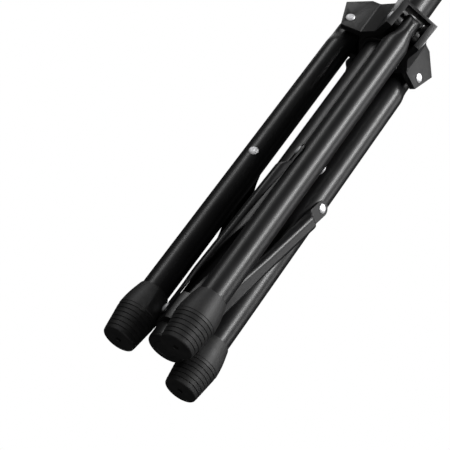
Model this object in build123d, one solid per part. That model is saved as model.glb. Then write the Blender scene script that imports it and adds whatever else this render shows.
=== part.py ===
"""Folding tripod hunting stand: a steel pole on three folding legs, with a telescoping mast and a V rest.

The stand is modelled folded, with its feet on z = 0 and the pole along +Z. Each leg hangs from a hub that slides
on the pole, and a pressed strut ties the leg to a bracket at the bottom of the pole.
Leg 1 is towards -Y; legs 2 and 3 follow anticlockwise, seen from above.
"""
import os
from math import asin, atan2, cos, degrees, radians, sin, sqrt

from build123d import *

# ---- driving dimensions, in millimetres and degrees ----
LEG_COUNT = 3
FIRST_LEG_ANGLE = -90.0
RUNNING = 0.06          # radial clearance of a pin that turns in its hole
SLIDING = 0.30          # radial clearance of a tube that slides in a liner
BODY_GAP = 0.35         # gap between flat faces of pieces that move past each other
TIGHT = 0.02            # radial clearance of pieces that are pressed or screwed together

leg_od = 25.4
leg_wall = 1.5
leg_circle_r = 38.0     # from the pole's axis to a folded leg's axis
leg_pivot_z = 395.0     # hub pivots above the ground, folded
leg_end_width = 16.0    # across the squeezed top end of the tube
leg_end_drop = 7.0      # the squeeze is complete this far below the pivot
leg_squeeze_length = 20.0
leg_top_wall = 1.5

foot_height = 53.5
foot_max_r = 18.0
foot_max_z = 28.3
foot_sole_r = 14.6
foot_sole_thickness = 7.0
foot_lip = 1.4          # rubber around the tube at the foot's top edge
foot_groove_count = 6
foot_groove_width = 0.8
foot_groove_depth = 0.7
foot_groove_pitch = 4.1
foot_recess_r = 2.0
foot_recess_depth = 2.5
washer_thickness = 1.6

rivet_r = 3.0
rivet_head_r = 4.3
rivet_head_height = 1.6

strut_pivot_drop = 178.0    # hub pivot to strut pivot, along the leg
strut_thickness = 1.5
strut_body_width = 14.4
strut_ear_r = 7.2
strut_foot_ear_r = 6.4
strut_web_lift = 8.9        # inner face of the ear at the leg to the channel's outer face
strut_bend_r = 3.0
strut_top_run = 14.5        # leg's pivot to the start of the step up
strut_top_step = 7.0        # length of the step up to the channel
strut_foot_run = 15.5       # bracket's pivot to the end of the slope down
strut_foot_slope = 30.0     # length of the slope down from the channel
strut_skirt_flat = 45.0     # the open edge runs beside the bracket this far from its pivot

bracket_pivot_z = 41.0
bracket_face_r = 18.6       # from the pole's axis to each flat face
bracket_corner_r = 23.0
bracket_bottom_z = 27.0
bracket_top_z = 55.0

pole_od = 34.0
pole_wall = 1.5
pole_bottom_z = 14.2
pole_top_z = 560.0
plug_flange = 3.0
plug_depth = 14.0

hub_ear_thickness = 6.2
hub_slot_width = 27.2
hub_web_r = 27.9            # from the pole's axis to the flat webs between the ears
hub_slot_gap = 3.0          # behind a folded leg
hub_drop = 11.5             # leg pivot to the hub's lower face
hub_rise = 29.0             # leg pivot to the hub's top
hub_ear_foot_reach = 4.0    # leg pivot outwards to the ear's lower front corner
hub_ear_top_reach = 12.8    # leg pivot outwards to the roof's front edge
hub_ear_rise = 16.0         # leg pivot up to the roof's front edge
hub_roof = 3.2
hub_liner_wall = 2.2
hub_liner_rim = 1.6
spacer_r = 5.6
hub_bend_r = 5.0            # bends between the ears and the webs
hub_roof_fall = 20.8        # length of the falling part of the roof

lock_screw_r = 4.0
lock_boss_r = 8.5
lock_boss_reach = 34.0
lock_knob_r = 15.0
lock_knob_height = 15.0
lock_knob_reach = 56.0      # from the pole's axis to the knob's outer face
lock_knob_lobes = 6
lock_screw_bite = 12.0      # length of the screw inside the knob

mast_od = 28.0
mast_wall = 1.5
mast_bottom_z = 300.0
mast_top_z = 640.0
glide_height = 30.0

collar_bottom_z = 522.0
collar_top_z = 577.0
collar_wall = 3.6
collar_shoulder = 4.0       # ring of the collar that covers the pole's end
collar_boss_z = 568.6
liner_length = 34.0

stem_r = 9.0
stem_socket_depth = 24.0
cap_height = 12.0
cap_skirt = 14.0
cap_wall = 2.5
yoke_disc_r = 19.0
yoke_disc_height = 9.0
yoke_rod_r = 5.0
yoke_half_width = 40.0
yoke_base_z = 668.0
yoke_arm_foot = 18.0        # half width of the level stretch at the bottom of the V
yoke_height = 62.0
grip_wall = 2.6
grip_length = 46.0

# ---- sizes that follow ----
leg_r = leg_od / 2
pole_r = pole_od / 2
mast_r = mast_od / 2
leg_inner_r = leg_r - leg_wall
pole_inner_r = pole_r - pole_wall
leg_top_z = leg_pivot_z + leg_r - 0.4
leg_bottom_z = foot_sole_thickness + washer_thickness
strut_pivot_z = leg_pivot_z - strut_pivot_drop
strut_rise = strut_pivot_z - bracket_pivot_z
strut_length = sqrt(leg_circle_r ** 2 + strut_rise ** 2)
strut_lean = degrees(atan2(leg_circle_r, strut_rise))
ear_in = leg_r + BODY_GAP                       # inner face of the strut's ear at the leg
ear_out = ear_in + strut_thickness
foot_ear_in = bracket_face_r + BODY_GAP         # inner face of the strut's ear at the bracket
foot_ear_out = foot_ear_in + strut_thickness
web_out = ear_in + strut_web_lift               # outer face of the strut's channel
hub_bottom_z = leg_pivot_z - hub_drop
hub_top_z = leg_pivot_z + hub_rise
hub_ear_top_z = leg_pivot_z + hub_ear_rise
hub_ear_bottom_r = leg_circle_r + hub_ear_foot_reach
hub_ear_top_r = leg_circle_r + hub_ear_top_reach
hub_slot_back_r = leg_circle_r - leg_r - hub_slot_gap
hub_flat_r = hub_ear_top_r - hub_roof_fall
hub_ear_in = hub_slot_width / 2
hub_ear_out = hub_ear_in + hub_ear_thickness
hub_bore_r = pole_r + SLIDING + hub_liner_wall
collar_r = pole_r + collar_wall
collar_boss_r = collar_r + 7.0
slope = (hub_top_z - hub_ear_top_z) / (hub_ear_top_r - hub_flat_r)
rotations = [Rot(0, 0, FIRST_LEG_ANGLE + k * 360.0 / LEG_COUNT) for k in range(LEG_COUNT)]


def revolved(points):
    """Solid of revolution about Z from (radius, height) points."""
    with BuildPart() as part:
        with BuildSketch(Plane.XZ):
            with BuildLine():
                Polyline(*points, close=True)
            make_face()
        revolve(axis=Axis.Z)
    return part.part


def tube(outer_r, inner_r, bottom, top):
    """Round tube or ring about Z."""
    return revolved([(inner_r, bottom), (outer_r, bottom), (outer_r, top), (inner_r, top)])


def rod(radius, bottom, top):
    """Round bar about Z."""
    return Pos(0, 0, bottom) * Cylinder(radius, top - bottom, align=(Align.CENTER, Align.CENTER, Align.MIN))


def lateral(shape, r, z):
    """Turn a shape made about Z so that its axis lies along the pivot at (r, z), its top on the strut's side."""
    return Pos(r, 0, z) * Rot(90, 0, 0) * shape


def rivet(low, high, head_low, head_high):
    """Rivet along Z: a shank from low to high with a domed head on each end."""
    dome = rivet_head_height * 0.45
    points = [
        (0, low - rivet_head_height), (rivet_head_r - 1.6, low - rivet_head_height),
        (rivet_head_r, low - rivet_head_height + dome), (rivet_head_r, low), (rivet_r, low),
        (rivet_r, high), (rivet_head_r, high), (rivet_head_r, high + rivet_head_height - dome),
        (rivet_head_r - 1.6, high + rivet_head_height), (0, high + rivet_head_height),
    ]
    if not head_low:
        points = [(0, low), (rivet_r, low)] + points[5:]
    if not head_high:
        points = points[:6] + [(0, high)]
    return revolved(points)


def prism(points, half_width):
    """Solid between two planes y = +-half_width, from (x, z) points."""
    with BuildPart() as part:
        with BuildSketch(Plane.XZ):
            with BuildLine():
                Polyline(*points, close=True)
            make_face()
        extrude(amount=half_width, both=True)
    return part.part


# ---- pieces of one leg, in the leg's own plane: x outwards, y along the pivots, z up ----
def squeezed_bar(radius, half_width, top_z):
    """Bar of a round section that narrows to an oval end below the pivot and runs on to top_z."""
    start = leg_pivot_z - leg_end_drop - leg_squeeze_length
    done = leg_pivot_z - leg_end_drop
    sections = [
        Pos(0, 0, start) * Circle(radius),
        Pos(0, 0, start + leg_squeeze_length / 2) * Ellipse(radius, (radius + half_width) / 2),
        Pos(0, 0, done) * Ellipse(radius, half_width),
    ]
    neck = loft([section.face() for section in sections])
    end = extrude(Pos(0, 0, done) * Ellipse(radius, half_width), top_z - done)
    return Pos(leg_circle_r, 0, 0) * (neck + end)


def leg_tube():
    """Round steel tube with its top end squeezed narrow and rounded about the pivot."""
    start = leg_pivot_z - leg_end_drop - leg_squeeze_length
    outer = squeezed_bar(leg_r, leg_end_width / 2, leg_pivot_z + leg_r)
    inner = squeezed_bar(leg_inner_r, leg_end_width / 2 - leg_wall, leg_pivot_z + leg_r)
    crown = lateral(Cylinder(leg_top_z - leg_pivot_z, leg_od), leg_circle_r, leg_pivot_z)
    bore = lateral(Cylinder(leg_top_z - leg_pivot_z - leg_top_wall, leg_od), leg_circle_r, leg_pivot_z)
    below = Pos(leg_circle_r, 0, leg_pivot_z - leg_od) * Box(2 * leg_od, 2 * leg_od, 2 * leg_od)
    outer = outer & (crown + below)
    inner = inner & (bore + below)
    straight = Pos(leg_circle_r, 0, 0) * tube(leg_r, leg_inner_r, leg_bottom_z, start)
    shell = straight + (outer - inner)
    for pivot_z in (leg_pivot_z, strut_pivot_z):
        shell -= lateral(Cylinder(rivet_r + RUNNING, 2 * leg_od), leg_circle_r, pivot_z)
    return shell


def leg_foot():
    """Rubber foot: smooth shoulder above a sharp edge, grooved taper below it, flat sole with a small recess."""
    bore_r = leg_r + TIGHT
    lip_r = leg_r + foot_lip
    top = foot_height
    shoulder = [
        (foot_max_r, foot_max_z), (foot_max_r - 0.5, foot_max_z + 1.2),
        ((foot_max_r + lip_r) / 2 + 0.55, (foot_max_z + top) / 2), (lip_r + 0.4, top - 1.2), (lip_r - 0.4, top),
    ]
    inside = [(bore_r, top), (bore_r, foot_sole_thickness), (0, foot_sole_thickness)]
    sole = [(0, 0), (foot_sole_r - 0.8, 0), (foot_sole_r, 0.9)]
    body = revolved(sole + shoulder + inside)
    body -= rod(foot_recess_r, 0, foot_recess_depth)
    taper = (foot_max_r - foot_sole_r) / foot_max_z
    for index in range(foot_groove_count):
        groove_z = foot_max_z - 3.0 - index * foot_groove_pitch
        skin_r = foot_sole_r + taper * groove_z
        body -= tube(skin_r + 1.0, skin_r - foot_groove_depth, groove_z - foot_groove_width, groove_z)
    return Pos(leg_circle_r, 0, 0) * body


def tip_washer():
    """Steel washer under the tube's end, inside the rubber foot."""
    ring = tube(leg_r, 3.0, foot_sole_thickness, foot_sole_thickness + washer_thickness)
    return Pos(leg_circle_r, 0, 0) * ring


def strut_rivet():
    """Rivet through the leg and the strut's ear; the strut is on the clockwise side of its leg."""
    return lateral(rivet(-leg_r - 0.03, ear_out + 0.05, True, True), leg_circle_r, strut_pivot_z)


def strut():
    """Pressed steel strut: an open channel whose two ends step down to flat ears."""
    x_a = strut_top_run
    x_b = x_a + strut_top_step
    x_d = strut_length - strut_foot_run
    x_c = x_d - strut_foot_slope
    wall = strut_thickness
    half = strut_body_width / 2
    skin = [
        (x_a - 3, ear_in), (x_a - 3, ear_out), (x_a, ear_out), (x_b, web_out), (x_c, web_out),
        (x_d, foot_ear_out), (x_d + 3, foot_ear_out), (x_d + 3, foot_ear_in),
        (strut_length - strut_skirt_flat, foot_ear_in),
    ]
    hollow = [
        (x_a, ear_in - 9), (x_a, ear_in), (x_b + wall / 2, web_out - wall),
        (x_c - wall / 2, web_out - wall), (x_d, foot_ear_in), (x_d, ear_in - 9),
    ]
    channel = prism(skin, half)
    bar = Pos((x_a + x_d) / 2, 0, web_out / 2) * Box(x_d - x_a + 6, 2 * half, web_out)
    channel &= fillet(bar.edges().filter_by(Axis.X).group_by(Axis.Z)[-1], strut_bend_r)
    channel -= prism(hollow, half - wall)
    top_ear = rod(strut_ear_r, ear_in, ear_out)
    top_ear += Pos(0, 0, ear_in) * Box(x_a, 2 * strut_ear_r, wall, align=(Align.MIN, Align.CENTER, Align.MIN))
    foot_ear = Pos(strut_length, 0, 0) * rod(strut_foot_ear_r, foot_ear_in, foot_ear_out)
    foot_ear += Pos(x_d, 0, foot_ear_in) * Box(
        strut_length - x_d, 2 * strut_foot_ear_r, wall, align=(Align.MIN, Align.CENTER, Align.MIN)
    )
    shape = channel + top_ear + foot_ear
    shape -= rod(rivet_r + RUNNING, 0, 2 * leg_od)
    shape -= Pos(strut_length, 0, 0) * rod(rivet_r + TIGHT, 0, 2 * leg_od)
    return place_strut(shape)


def place_strut(shape):
    """Lay a shape made along +X with its outside up beside the leg, from the leg's pivot to the bracket's."""
    return Pos(leg_circle_r, 0, strut_pivot_z) * Rot(0, 90 + strut_lean, 0) * Rot(90, 0, 0) * shape


def strut_foot_rivet():
    """Rivet in the strut's lower ear. Its shank ends short of the bracket, where the linkage is opened."""
    shape = rivet(foot_ear_in - BODY_GAP / 4, foot_ear_out + 0.05, False, True)
    return place_strut(Pos(strut_length, 0, 0) * shape)


# ---- pieces on the pole ----
def flat_sided(face_r, corner_r, bottom, top):
    """Bar with one flat side for each strut, and round corners between them."""
    shape = rod(corner_r, bottom, top)
    for turn in rotations:
        cut = Pos(0, -face_r - corner_r, (bottom + top) / 2) * Box(4 * corner_r, 2 * corner_r, 2 * (top - bottom))
        shape -= turn * cut
    return shape


def lower_bracket():
    """Steel sleeve on the pole's lower end, with three flat sides that carry the struts."""
    sleeve = flat_sided(bracket_face_r, bracket_corner_r, bracket_bottom_z, bracket_top_z)
    sleeve -= rod(pole_r + TIGHT, bracket_bottom_z - 1, bracket_top_z + 1)
    for turn in rotations:
        sleeve -= turn * Pos(leg_circle_r, 0, 0) * rod(foot_max_r + 0.8, bracket_bottom_z - 1, bracket_top_z + 1)
    return sleeve - bracket_pin_hole()


def bracket_pin_hole():
    """Hole for the cross pin, above the strut pivots and along X."""
    pin_z = (bracket_pivot_z + strut_foot_ear_r + bracket_top_z) / 2
    return Pos(0, 0, pin_z) * Rot(0, 90, 0) * Cylinder(2.0 + TIGHT, 4 * pole_r)


def bracket_pin():
    """Spring pin that holds the bracket on the pole."""
    pin_z = (bracket_pivot_z + strut_foot_ear_r + bracket_top_z) / 2
    return Pos(0, 0, pin_z) * Rot(0, 90, 0) * Cylinder(2.0, 2 * bracket_face_r - 1.0)


def pole_tube():
    """Outer pole."""
    return tube(pole_r, pole_inner_r, pole_bottom_z, pole_top_z) - bracket_pin_hole()


def pole_plug():
    """Plastic plug that closes the pole's lower end, with a rounded flange."""
    flange_z = pole_bottom_z - plug_flange
    return revolved([
        (0, flange_z), (pole_r - 2.2, flange_z), (pole_r - 0.6, flange_z + 0.9), (pole_r, flange_z + 2.2),
        (pole_r, pole_bottom_z), (pole_inner_r - TIGHT, pole_bottom_z),
        (pole_inner_r - TIGHT, pole_bottom_z + plug_depth), (pole_inner_r - 2.2, pole_bottom_z + plug_depth),
        (pole_inner_r - 2.2, pole_bottom_z), (0, pole_bottom_z),
    ])


# ---- hub ----
def hub_plan():
    """Blocks out over each leg, joined by flat webs with rounded bends."""
    corners = [turn * Pos(2 * hub_web_r, 0, 0) for turn in rotations]
    plan = Polygon(*[(c.position.X, c.position.Y) for c in corners], align=None)
    for turn in rotations:
        plan += turn * Rectangle(2 * hub_ear_top_r, 2 * hub_ear_out, align=(Align.MIN, Align.CENTER))
    bends = [v for v in plan.vertices() if Vector(v.X, v.Y).length < hub_flat_r]
    return fillet(bends, hub_bend_r)


def hub_envelope():
    """Side outline of the hub over each leg: ears that lean outwards under a roof that falls outwards."""
    wedge = prism([
        (0, hub_bottom_z), (hub_ear_bottom_r, hub_bottom_z), (hub_ear_top_r, hub_ear_top_z),
        (hub_flat_r, hub_top_z), (0, hub_top_z),
    ], hub_ear_out + 0.01)
    shape = rod(hub_flat_r, hub_bottom_z, hub_top_z)
    for turn in rotations:
        shape += turn * wedge
    return shape


def hub_body():
    """Cast hub: three forks under one sloping roof, around a bore with a liner."""
    body = extrude(Pos(0, 0, hub_bottom_z) * hub_plan(), hub_top_z - hub_bottom_z) & hub_envelope()
    body += Pos(0, lock_boss_reach, leg_pivot_z) * Rot(90, 0, 0) * Cylinder(
        lock_boss_r, lock_boss_reach - hub_bore_r - 1.0, align=(Align.CENTER, Align.CENTER, Align.MIN))
    for turn in rotations:
        slot = prism([
            (hub_slot_back_r, hub_bottom_z - 1), (hub_ear_top_r + 9, hub_bottom_z - 1),
            (hub_ear_top_r + 9, hub_ear_top_z - hub_roof - 9 * slope),
            (hub_slot_back_r, hub_ear_top_z - hub_roof + slope * (hub_ear_top_r - hub_slot_back_r)),
        ], hub_ear_in)
        body -= turn * slot
        body -= turn * lateral(Cylinder(rivet_r + TIGHT, 4 * hub_ear_out), leg_circle_r, leg_pivot_z)
    body -= rod(hub_bore_r + TIGHT, hub_bottom_z - 1, hub_top_z + 1)
    body -= Pos(0, lock_boss_reach + 1, leg_pivot_z) * Rot(90, 0, 0) * Cylinder(
        lock_screw_r + RUNNING, lock_boss_reach + 1, align=(Align.CENTER, Align.CENTER, Align.MIN))
    return body


def hub_liner():
    """Plastic liner between the hub and the pole, with a rim at each end and a hole for the lock screw."""
    inner = pole_r + SLIDING
    rim_r = hub_bore_r + 1.4
    ring = revolved([
        (inner, hub_bottom_z - hub_liner_rim), (rim_r, hub_bottom_z - hub_liner_rim), (rim_r, hub_bottom_z),
        (hub_bore_r, hub_bottom_z), (hub_bore_r, hub_top_z), (rim_r, hub_top_z),
        (rim_r, hub_top_z + hub_liner_rim), (inner, hub_top_z + hub_liner_rim),
    ])
    return ring - Pos(0, pole_r, leg_pivot_z) * Rot(90, 0, 0) * Cylinder(lock_screw_r + RUNNING, 2 * pole_r)


def hub_rivets():
    """The three leg pivots, riveted over the hub's ears."""
    one = lateral(rivet(-hub_ear_out - 0.05, hub_ear_out + 0.05, True, True), leg_circle_r, leg_pivot_z)
    return [turn * one for turn in rotations]


def hub_spacers():
    """Bushes that fill the fork on both sides of each leg's narrow end."""
    low = leg_end_width / 2 + BODY_GAP
    bush = tube(spacer_r, rivet_r + TIGHT, low, hub_ear_in - 0.02)
    pair = [lateral(bush, leg_circle_r, leg_pivot_z), lateral(Rot(180, 0, 0) * bush, leg_circle_r, leg_pivot_z)]
    return [turn * one for turn in rotations for one in pair]


# ---- lock knobs ----
def knob(reach, screw_tip, centre_z, side):
    """Lobed knob and its screw, along Y. side is +1 or -1. Returns knob, screw."""
    outline = Circle(lock_knob_r - 2.5)
    for index in range(lock_knob_lobes):
        outline += Rot(0, 0, index * 360.0 / lock_knob_lobes) * Pos(lock_knob_r - 4.5, 0, 0) * Circle(4.5)
    outline = fillet(outline.vertices(), 1.5)
    head = extrude(outline, lock_knob_height)
    head = fillet(head.edges().group_by(Axis.Z)[-1], 1.5)
    head += rod(lock_knob_r - 7.0, lock_knob_height - 0.01, lock_knob_height + 2.5)
    head -= rod(lock_screw_r + TIGHT, lock_knob_height + 2.5 - lock_screw_bite, lock_knob_height + 3)
    screw = rod(lock_screw_r, lock_knob_height + 2.5 - lock_screw_bite + 0.02, reach - screw_tip)
    turn = Pos(0, side * reach, centre_z) * Rot(90 * side, 0, 0)
    return turn * head, turn * screw


# ---- top of the pole ----
def clamp_collar():
    """Plastic collar on the pole's top end; its boss holds the screw that clamps the mast."""
    inner = mast_r + SLIDING
    ring = revolved([
        (pole_r + TIGHT, collar_bottom_z), (collar_r - 0.8, collar_bottom_z), (collar_r, collar_bottom_z + 0.8),
        (collar_r, collar_top_z - 1.5), (collar_r - 1.5, collar_top_z), (inner, collar_top_z),
        (inner, collar_top_z - (collar_top_z - pole_top_z) + 0.05), (pole_r + TIGHT, pole_top_z + 0.05),
    ])
    boss = Pos(0, -collar_boss_r, collar_boss_z) * Rot(-90, 0, 0) * Cylinder(
        7.0, collar_boss_r - mast_r - 1.0, align=(Align.CENTER, Align.CENTER, Align.MIN))
    ring += boss
    hole = Pos(0, -collar_boss_r - 1, collar_boss_z) * Rot(-90, 0, 0) * Cylinder(
        lock_screw_r + RUNNING, collar_boss_r, align=(Align.CENTER, Align.CENTER, Align.MIN))
    return ring - hole


def pole_liner():
    """Plastic sleeve in the pole's mouth that guides the mast."""
    return tube(pole_inner_r - TIGHT, mast_r + 0.1, pole_top_z - liner_length, pole_top_z)


def mast_tube():
    """Inner tube that slides out of the pole."""
    return tube(mast_r, mast_r - mast_wall, mast_bottom_z, mast_top_z)


def mast_glide():
    """Plastic plug and guide ring on the mast's lower end."""
    ring_r = pole_inner_r - SLIDING
    bore_r = mast_r - mast_wall - TIGHT
    return revolved([
        (0, mast_bottom_z - 6), (ring_r - 1, mast_bottom_z - 6), (ring_r, mast_bottom_z - 5),
        (ring_r, mast_bottom_z - 0.02), (bore_r, mast_bottom_z - 0.02), (bore_r, mast_bottom_z + glide_height),
        (bore_r - 2, mast_bottom_z + glide_height), (bore_r - 2, mast_bottom_z), (0, mast_bottom_z),
    ])


def mast_cap():
    """Plastic cap on the mast's top, with the socket that the rest's stem turns in."""
    bore_r = mast_r - mast_wall - TIGHT
    socket_r = stem_r + RUNNING
    return revolved([
        (socket_r, mast_top_z - cap_skirt), (bore_r, mast_top_z - cap_skirt), (bore_r, mast_top_z + 0.02),
        (mast_r + cap_wall, mast_top_z + 0.02), (mast_r + cap_wall, mast_top_z + cap_height - 1.5),
        (mast_r + cap_wall - 1.5, mast_top_z + cap_height), (socket_r, mast_top_z + cap_height),
    ])


def yoke_stem():
    """Turning stem and disc under the V rest."""
    disc_z = mast_top_z + cap_height + BODY_GAP
    top = disc_z + yoke_disc_height
    return revolved([
        (0, mast_top_z - cap_skirt), (stem_r, mast_top_z - cap_skirt), (stem_r, disc_z),
        (yoke_disc_r - 1.5, disc_z), (yoke_disc_r, disc_z + 1.5), (yoke_disc_r, top - 1.5),
        (yoke_disc_r - 1.5, top), (0, top),
    ])


def yoke_rod_path():
    """Centre line of the V: a level foot and two arms that rise outwards."""
    base = yoke_base_z
    return FilletPolyline(
        (-yoke_half_width, 0, base + yoke_height), (-yoke_arm_foot, 0, base), (yoke_arm_foot, 0, base),
        (yoke_half_width, 0, base + yoke_height), radius=9.0)


def yoke_rod():
    """Bent steel rod that forms the V."""
    path = yoke_rod_path()
    start = Plane(origin=path @ 0, z_dir=path % 0)
    return sweep(start * Circle(yoke_rod_r), path=path)


def yoke_saddle():
    """Block that clamps the rod's foot on the stem's disc."""
    bottom = mast_top_z + cap_height + BODY_GAP + yoke_disc_height
    height = yoke_base_z + yoke_rod_r + 2.5 - bottom
    block = Pos(0, 0, bottom) * Box(18, 22, height, align=(Align.CENTER, Align.CENTER, Align.MIN))
    block = fillet(block.edges().filter_by(Axis.Z), 3.0)
    return block - Pos(0, 0, yoke_base_z) * Rot(0, 90, 0) * Cylinder(yoke_rod_r + TIGHT, 40)


def yoke_grips():
    """Rubber sleeves on the two arms."""
    angle = degrees(atan2(yoke_half_width - yoke_arm_foot, yoke_height))
    grips = []
    for side in (-1, 1):
        sleeve = tube(yoke_rod_r + grip_wall, yoke_rod_r + TIGHT, 0, grip_length)
        sleeve += Pos(0, 0, grip_length) * Sphere(
            yoke_rod_r + grip_wall, arc_size1=0, arc_size2=90, align=(Align.CENTER, Align.CENTER, Align.MIN))
        top = Pos(side * yoke_half_width, 0, yoke_base_z + yoke_height) * Rot(0, side * angle, 0)
        grips.append(top * Pos(0, 0, 0.1 - grip_length) * sleeve)
    return grips


def save(name, shape):
    """Write one node, a solid or a group of separate solids."""
    if isinstance(shape, (list, tuple)):
        shape = Compound(children=[s for group in shape for s in group.solids()])
    export_step(shape, f"parts/{name}.step")


os.makedirs("parts", exist_ok=True)

leg_pieces = {
    "leg_{}_tube": leg_tube(), "leg_{}_foot": leg_foot(), "leg_{}_tip_washer": tip_washer(),
    "leg_{}_strut_rivet": strut_rivet(), "strut_{}": strut(), "strut_{}_foot_rivet": strut_foot_rivet(),
}
for number, turn in enumerate(rotations, start=1):
    for name, piece in leg_pieces.items():
        save(name.format(number), turn * piece)

save("pole_tube", pole_tube())
save("pole_plug", pole_plug())
save("lower_bracket", lower_bracket())
save("bracket_pin", bracket_pin())
save("hub_body", hub_body())
save("hub_liner", hub_liner())
save("hub_rivets", hub_rivets())
save("hub_spacers", hub_spacers())
hub_knob, hub_screw = knob(lock_knob_reach, pole_r + 0.4, leg_pivot_z, 1)
save("hub_lock_knob", hub_knob)
save("hub_lock_screw", hub_screw)
save("clamp_collar", clamp_collar())
save("pole_liner", pole_liner())
mast_knob, mast_screw = knob(lock_knob_reach - 6.0, mast_r + 0.4, collar_boss_z, -1)
save("mast_clamp_knob", mast_knob)
save("mast_clamp_screw", mast_screw)
save("mast_tube", mast_tube())
save("mast_glide", mast_glide())
save("mast_cap", mast_cap())
save("yoke_stem", yoke_stem())
save("yoke_saddle", yoke_saddle())
save("yoke_rod", yoke_rod())
grip_left, grip_right = yoke_grips()
save("yoke_grip_left", grip_left)
save("yoke_grip_right", grip_right)
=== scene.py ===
from math import cos, pi, radians, sin, sqrt

import bmesh
import bpy
import numpy as np
from mathutils import Matrix, Vector


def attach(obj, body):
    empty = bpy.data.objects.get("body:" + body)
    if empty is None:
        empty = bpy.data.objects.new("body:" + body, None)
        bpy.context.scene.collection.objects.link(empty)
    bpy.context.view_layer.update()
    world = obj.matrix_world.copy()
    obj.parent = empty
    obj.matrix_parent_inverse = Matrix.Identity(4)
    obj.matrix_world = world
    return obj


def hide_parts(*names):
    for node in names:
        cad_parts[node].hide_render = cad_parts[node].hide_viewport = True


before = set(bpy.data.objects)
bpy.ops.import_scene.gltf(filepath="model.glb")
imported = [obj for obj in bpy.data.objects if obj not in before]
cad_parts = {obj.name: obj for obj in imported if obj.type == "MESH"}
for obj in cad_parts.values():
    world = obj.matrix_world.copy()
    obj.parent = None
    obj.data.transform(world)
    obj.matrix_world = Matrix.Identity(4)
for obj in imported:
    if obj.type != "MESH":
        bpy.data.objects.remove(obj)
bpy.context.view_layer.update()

# ---------------------------------------------------------------- the studio
# A pale floor that only shows from above, a white surround that gives little light, and six soft lamps
# round the stand. The camera looks up at the folded stand from the front and below, rolled so that the
# pole leans to the right.
CAMERA_AT = (-0.1745, -1.1322, -0.5305)
CAMERA_TURN, CAMERA_RISE, CAMERA_ROLL = radians(7.70), radians(30.26), radians(36.63)
LENS, SENSOR = 125.2, 36.0
FLOOR_REACH = 6.0
FLOOR_DROP = 0.0004
FLOOR_GLOW = 0.72

camera = bpy.data.objects.new("camera", bpy.data.cameras.new("camera"))
camera.data.lens, camera.data.sensor_width = LENS, SENSOR
camera.data.clip_start, camera.data.clip_end = 0.01, 60.0
aim = Matrix.Rotation(-CAMERA_TURN, 4, "Z") @ Matrix.Rotation(pi / 2 + CAMERA_RISE, 4, "X")
camera.matrix_world = Matrix.Translation(CAMERA_AT) @ aim @ Matrix.Rotation(CAMERA_ROLL, 4, "Z")
bpy.context.scene.collection.objects.link(camera)
bpy.context.scene.camera = camera
bpy.context.scene.view_settings.view_transform = "Standard"


class Field:
    """One value or colour in a finish. Arithmetic on it adds the Math node that works the answer out."""

    def __init__(self, finish, socket):
        self.finish, self.socket = finish, socket

    def maths(self, operation, first, second):
        return self.finish.node("ShaderNodeMath", {"operation": operation}, {0: first, 1: second})

    def __add__(self, other):
        return self.maths("ADD", self, other)

    def __sub__(self, other):
        return self.maths("SUBTRACT", self, other)

    def __rsub__(self, other):
        return self.maths("SUBTRACT", other, self)

    def __mul__(self, other):
        return self.maths("MULTIPLY", self, other)

    __radd__, __rmul__ = __add__, __mul__


class Finish:
    """A material in the making. Constants go straight on the shader; node() adds any other node."""

    def __init__(self, name, **constants):
        self.material = bpy.data.materials.new(name)
        self.material.use_nodes = True
        self.tree = self.material.node_tree
        self.shader = self.tree.nodes["Principled BSDF"]
        for socket, value in constants.items():
            self.shader.inputs[socket.replace("_", " ")].default_value = value

    def node(self, kind, settings=None, inputs=None, out=0):
        made = self.tree.nodes.new(kind)
        for key, value in (settings or {}).items():
            setattr(made, key, value)
        for key, value in (inputs or {}).items():
            self.join(value, made.inputs[key])
        return Field(self, made.outputs[out])

    def join(self, value, socket):
        if isinstance(value, Field):
            self.tree.links.new(value.socket, socket)
        else:
            socket.default_value = value

    def place(self, stretch=(1.0, 1.0, 1.0)):
        """Position on the piece, in metres, scaled along each axis."""
        at = self.node("ShaderNodeTexCoord", out="Object")
        return self.node("ShaderNodeMapping", inputs={"Vector": at, "Scale": stretch})

    def cloud(self, scale, detail=3.0, rough=0.5, stretch=(1.0, 1.0, 1.0)):
        """Smooth random value from 0 to 1, with scale blobs in a metre."""
        sockets = {"Vector": self.place(stretch), "Scale": scale, "Detail": detail, "Roughness": rough}
        return self.node("ShaderNodeTexNoise", inputs=sockets, out="Fac")

    def cells(self, scale, stretch=(1.0, 1.0, 1.0)):
        """Distance to the nearest of many random points, with scale points in a metre."""
        sockets = {"Vector": self.place(stretch), "Scale": scale}
        return self.node("ShaderNodeTexVoronoi", inputs=sockets, out="Distance")

    def spread(self, value, low, high, to_low=0.0, to_high=1.0):
        """The value's range from low to high, moved to to_low..to_high and held at both ends."""
        sockets = {"Value": value, "From Min": low, "From Max": high, "To Min": to_low, "To Max": to_high}
        return self.node("ShaderNodeMapRange", inputs=sockets)

    def blend(self, share, first, second):
        """Mixes two colours."""
        return self.node("ShaderNodeMix", {"data_type": "RGBA"}, {0: share, 6: first, 7: second}, out=2)

    def coat(self, colour=None, roughness=None, height=None, depth=0.0):
        """Joins what varies over the surface to the shader. The height is a relief, its depth in metres."""
        if colour is not None:
            self.join(colour, self.shader.inputs["Base Color"])
        if roughness is not None:
            self.join(roughness, self.shader.inputs["Roughness"])
        if height is not None:
            sockets = {"Height": height, "Strength": 1.0, "Distance": depth}
            self.join(self.node("ShaderNodeBump", inputs=sockets), self.shader.inputs["Normal"])
        return self.material


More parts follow.
